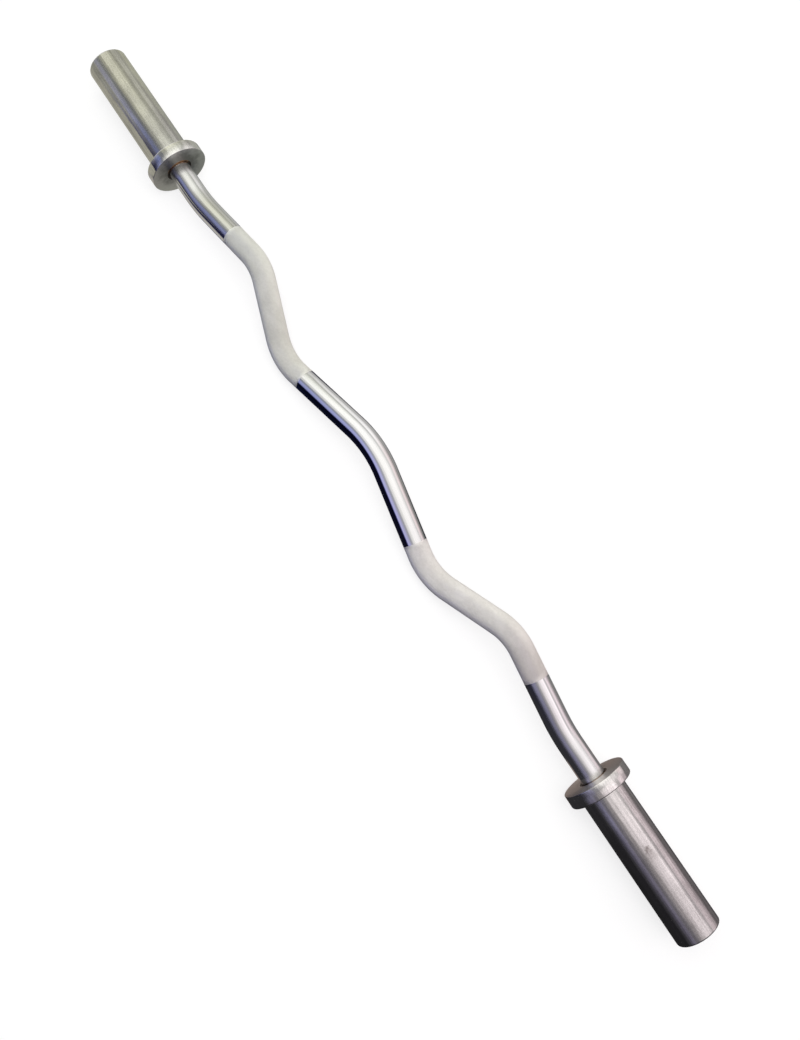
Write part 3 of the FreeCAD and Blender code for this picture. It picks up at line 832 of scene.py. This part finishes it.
TINTS = {
    "plain": (
        (1.0, 1.0, 0.80), (0.99, 1.0, 0.90), (1.0, 1.0, 0.96),
        (1.0, 0.99, 0.97), (1.0, 0.985, 0.95), (1.0, 0.975, 0.955),
        (1.0, 0.95, 0.96), (1.0, 0.93, 0.945), (1.0, 0.91, 0.945)),
    "rose": (
        (1.0, 1.0, 0.86), (1.0, 0.98, 0.93), (1.0, 0.99, 0.98),
        (1.0, 0.98, 0.97), (1.0, 0.90, 0.89), (1.0, 0.86, 0.86),
        (1.0, 0.88, 0.91), (1.0, 0.87, 0.91), (1.0, 0.86, 0.91)),
    "grey": (
        (0.96, 1.0, 0.97), (0.93, 0.98, 1.10), (0.93, 0.98, 1.20),
        (0.92, 0.98, 1.20), (0.97, 0.97, 1.10), (0.98, 0.97, 1.05),
        (0.97, 0.95, 1.12), (0.98, 0.93, 1.06), (1.0, 0.93, 1.06)),
    "blue": (
        (0.94, 0.95, 1.10), (0.68, 0.82, 1.70), (0.84, 0.91, 1.60),
        (0.84, 0.91, 1.60), (0.92, 0.91, 1.42), (0.94, 0.91, 1.36),
        (0.95, 0.91, 1.32), (0.93, 0.92, 1.40), (1.0, 0.92, 1.24)),
    "navy": (
        (1.0, 1.0, 0.84), (0.80, 0.80, 1.50), (0.55, 0.62, 2.20),
        (0.50, 0.60, 2.20), (0.60, 0.58, 2.0), (0.95, 0.93, 1.25),
        (1.0, 1.0, 1.10), (1.0, 0.98, 1.10), (1.0, 0.96, 1.10)),
    "floor": (
        (1.0, 1.0, 0.84), (0.97, 1.0, 0.93), (0.50, 0.60, 2.20),
        (0.50, 0.60, 2.20), (0.70, 0.70, 1.6), (1.0, 1.0, 1.10),
        (1.0, 1.0, 1.08), (1.0, 0.98, 1.07), (1.0, 0.96, 1.06)),
}
DEEPEST_TINT = 2.5
DARK_END = (0.03, 0.028, 0.032)

# The mat under the bar: strips along it, from one edge across it to the other, with tint and brightness
MAT_STRIPS = {
    "left_strip": (-9, -0.11, "navy", (0.44, 0.03, 0.02, 0.004, 0.006, 0.03, 0.035, 0.03, 0.022)),
    "middle_strip": (-0.03, 0.03, "floor", (0.42, 0.17, 0.06, 0.006, 0.01, 0.03, 0.035, 0.03, 0.02)),
    "right_strip": (0.11, 9, "plain", (0.50, 0.46, 0.56, 0.58, 0.28, 0.26, 0.24, 0.22, 0.17)),
}

# Cards on the mat, which the collars' faces and the metal's lower sides mirror: their middles, half sizes,
# soft edges and colours
CARDS = {
    "left_of_left_sleeve": ((-0.56, -0.15), (0.09, 0.13), 0.02, (0.46, 0.45, 0.38)),
    "left_of_left_shaft": ((-0.39, -0.045), (0.06, 0.015), 0.025, (0.50, 0.48, 0.44)),
    "before_left_collar": ((-0.40, -0.02), (0.018, 0.02), 0.012, (0.42, 0.40, 0.375)),
    "under_left_collar": ((-0.428, 0.0), (0.012, 0.03), 0.012, (0.46, 0.46, 0.42)),
    "right_of_left_collar": ((-0.395, 0.055), (0.03, 0.03), 0.012, (0.36, 0.37, 0.34)),
    "under_right_collar": ((0.42, 0.01), (0.012, 0.04), 0.012, (0.30, 0.25, 0.225)),
}


def banded(recipe, value, x, zones, bands):
    """Light in bands that follow one another along a value, each with a brightness for every zone."""
    tints = {}
    for name, colours in TINTS.items():
        shares = [[share / DEEPEST_TINT for share in colour] for colour in colours]
        tints[name] = colour_along(recipe, x, zones, shares)
    result = None
    for first, last, tint, levels in bands.values():
        level = colour_along(recipe, x, zones, [[share / BRIGHTEST] * 3 for share in levels])
        colour = recipe.product(level, tints[tint])
        if result is None:
            result = colour
        else:
            result = recipe.mixed(recipe.ranged(value, before, first, 0, 1, "SMOOTHSTEP"), result, colour)
        before = last
    return recipe.product(result, [DEEPEST_TINT] * 3)


def wall_colour(recipe):
    """The wall's bands, by the angle about the bar and the place along it."""
    parts = recipe.add("ShaderNodeSeparateXYZ", {"Vector": recipe.place}).outputs
    height = recipe.sum_of(parts["Z"], AXIS_HEIGHT, "SUBTRACT")
    angle = recipe.sum_of(parts["Y"], height, "ARCTAN2")
    degrees = recipe.sum_of(angle, math.degrees(1), "MULTIPLY")
    zones = [x + (x - CAMERA_X) * STAGE_RADIUS for x in ZONES]
    least, most = min(ZONE_TURNS), max(ZONE_TURNS)
    shares = [[(turn - least) / (most - least)] * 3 for turn in ZONE_TURNS]
    turn = recipe.ranged(colour_along(recipe, parts["X"], zones, shares), 0, 1, least, most)
    return banded(recipe, recipe.sum_of(degrees, turn), parts["X"], zones, WALL_BANDS)


def mat_colour(recipe):
    """The mat's strips and cards. Further off the bar, the zones spread as the metal mirrors them."""
    parts = recipe.add("ShaderNodeSeparateXYZ", {"Vector": recipe.place}).outputs
    off = recipe.sum_of(parts["Y"], 0.0, "ABSOLUTE")
    shifted = recipe.sum_of(parts["X"], recipe.sum_of(off, CAMERA_X, "MULTIPLY"))
    x = recipe.sum_of(shifted, recipe.sum_of(off, 1.0), "DIVIDE")
    result = banded(recipe, parts["Y"], x, ZONES, MAT_STRIPS)
    for middle, half, edge, colour in CARDS.values():
        shares = []
        for axis, centre, reach in zip("XY", middle, half):
            away = recipe.sum_of(recipe.sum_of(parts[axis], centre, "SUBTRACT"), 0.0, "ABSOLUTE")
            shares.append(recipe.ranged(away, reach + edge, reach, 0, 1, "SMOOTHSTEP"))
        share = recipe.sum_of(*shares, "MULTIPLY")
        result = recipe.mixed(share, result, [level / BRIGHTEST for level in colour])
    return result


def stage_piece(name, points, faces, material):
    """A piece of the studio, which is no part of the bar."""
    piece = bpy.data.objects.new(name, bpy.data.meshes.new(name))
    piece.data.from_pydata(points, [], faces)
    piece.data.materials.append(material)
    bpy.context.scene.collection.objects.link(piece)
    return piece


def make_wall():
    """A wall bent over the bar, which lights it and is mirrored in it, but which the camera doesn't see."""
    points = []
    for step in range(WALL_STEPS + 1):
        angle = WALL_HALF_TURN * (2 * step / WALL_STEPS - 1)
        y, z = STAGE_RADIUS * math.sin(angle), AXIS_HEIGHT + STAGE_RADIUS * math.cos(angle)
        points += [(-STAGE_HALF_LENGTH, y, z), (STAGE_HALF_LENGTH, y, z)]
    faces = [(k, k + 1, k + 3, k + 2) for k in range(0, 2 * WALL_STEPS, 2)]
    wall = stage_piece("studio_wall", points, faces, emission("studio_wall", wall_colour))
    x, y, z = STAGE_HALF_LENGTH, STAGE_RADIUS, STAGE_RADIUS + AXIS_HEIGHT
    points = [(x, -y, 0), (x, y, 0), (x, y, z), (x, -y, z)]
    dark = emission("studio_end", lambda recipe: (*DARK_END, 1))
    end = stage_piece("studio_end", points, [(0, 1, 2, 3)], dark)
    for piece in (wall, end):
        piece.visible_camera = False
        piece.visible_shadow = False


FLOOR_HALF = 8.0
FLOOR_ALBEDO = 0.30
FLOOR_GLOW = 0.73
FLOOR_ROUGHNESS = 0.9
MAT_LIFT = 0.0004


def background_rays(recipe):
    """1 for the rays that see the pale background: from the camera, off metal and through glass."""
    rays = recipe.add("ShaderNodeLightPath").outputs
    seen = recipe.sum_of(rays["Is Camera Ray"], rays["Is Glossy Ray"], "MAXIMUM")
    return recipe.sum_of(seen, rays["Is Transmission Ray"], "MAXIMUM")


def make_floor():
    """A plain pale floor that keeps the bar's shadow."""
    albedo = (FLOOR_ALBEDO, FLOOR_ALBEDO, FLOOR_ALBEDO, 1)
    recipe = Recipe("pale_floor", Base_Color=albedo, Roughness=FLOOR_ROUGHNESS, Specular_IOR_Level=0.0,
                    Emission_Color=(1, 1, 1, 1))
    glow = recipe.sum_of(background_rays(recipe), FLOOR_GLOW, "MULTIPLY")
    recipe.tree.links.new(glow, recipe.shader.inputs["Emission Strength"])
    edge = FLOOR_HALF
    points = [(-edge, -edge, 0), (edge, -edge, 0), (edge, edge, 0), (-edge, edge, 0)]
    stage_piece("floor", points, [(0, 1, 2, 3)], recipe.material)


def make_mat():
    """A mat on the floor that only the metal sees, so that its lower sides mirror something dark."""
    x, y, z = STAGE_HALF_LENGTH, STAGE_RADIUS, MAT_LIFT
    points = [(-x, -y, z), (x, -y, z), (x, y, z), (-x, y, z)]
    mat = stage_piece("dark_mat", points, [(0, 1, 2, 3)], emission("dark_mat", mat_colour))
    mat.visible_camera = False
    mat.visible_diffuse = False
    mat.visible_shadow = False
    mat.visible_transmission = False


KEY_PLACE = Vector((0.1, -0.25, 1.25))
KEY_SIZE = (1.4, 0.8)
KEY_POWER = 6.0


def make_key_light():
    """A large soft lamp over the bar, for what is matt: the knurling and the floor. No metal mirrors it."""
    lamp = bpy.data.lights.new("key_light", "AREA")
    lamp.shape = "RECTANGLE"
    lamp.size, lamp.size_y = KEY_SIZE
    lamp.energy = KEY_POWER
    key = bpy.data.objects.new("key_light", lamp)
    bpy.context.scene.collection.objects.link(key)
    key.location = KEY_PLACE
    key.rotation_euler = (KEY_PLACE - UP * AXIS_HEIGHT).to_track_quat("Z", "Y").to_euler()
    key.visible_glossy = False
    key.visible_camera = False


def make_world():
    """White behind everything, which is also an even fill light."""
    world = bpy.data.worlds.new("white_room")
    world.use_nodes = True
    bpy.context.scene.world = world
    background = world.node_tree.nodes["Background"].inputs
    background["Color"].default_value = (1, 1, 1, 1)
    background["Strength"].default_value = 1.0


def make_camera():
    """The photograph's camera, placed by how the bar lies in its picture."""
    flat = math.cos(BAR_TILT)
    along_bar = Vector((flat * math.cos(BAR_SLOPE), -flat * math.sin(BAR_SLOPE), math.sin(BAR_TILT)))
    square = Vector((math.sin(BAR_SLOPE), math.cos(BAR_SLOPE), 0))
    bend_up = math.cos(BAR_ROLL) * square + math.sin(BAR_ROLL) * along_bar.cross(square)
    bar = Matrix((along_bar, bend_up, along_bar.cross(bend_up))).transposed().to_4x4()
    bar.translation = MID_BAR_FROM_CAMERA
    camera = bpy.data.objects.new("camera", bpy.data.cameras.new("camera"))
    bpy.context.scene.collection.objects.link(camera)
    camera.data.sensor_width = SENSOR
    camera.data.lens = SENSOR * FOCAL_PIXELS / PICTURE_HEIGHT
    camera.data.shift_x, camera.data.shift_y = SHIFT
    camera.data.clip_start = NEAREST_SEEN
    camera.matrix_world = BEND_TO_WORLD @ bar.inverted()
    bpy.context.scene.camera = camera


make_shaft()
for side in SIDES:
    make_collar(side)
    make_sleeve(side)
    make_bushing(side)
    make_plug(side)
finish_nodes()
make_wall()
make_floor()
make_mat()
make_key_light()
make_world()
make_camera()
bpy.context.scene.view_settings.view_transform = "Standard"

bpy.context.view_layer.update()
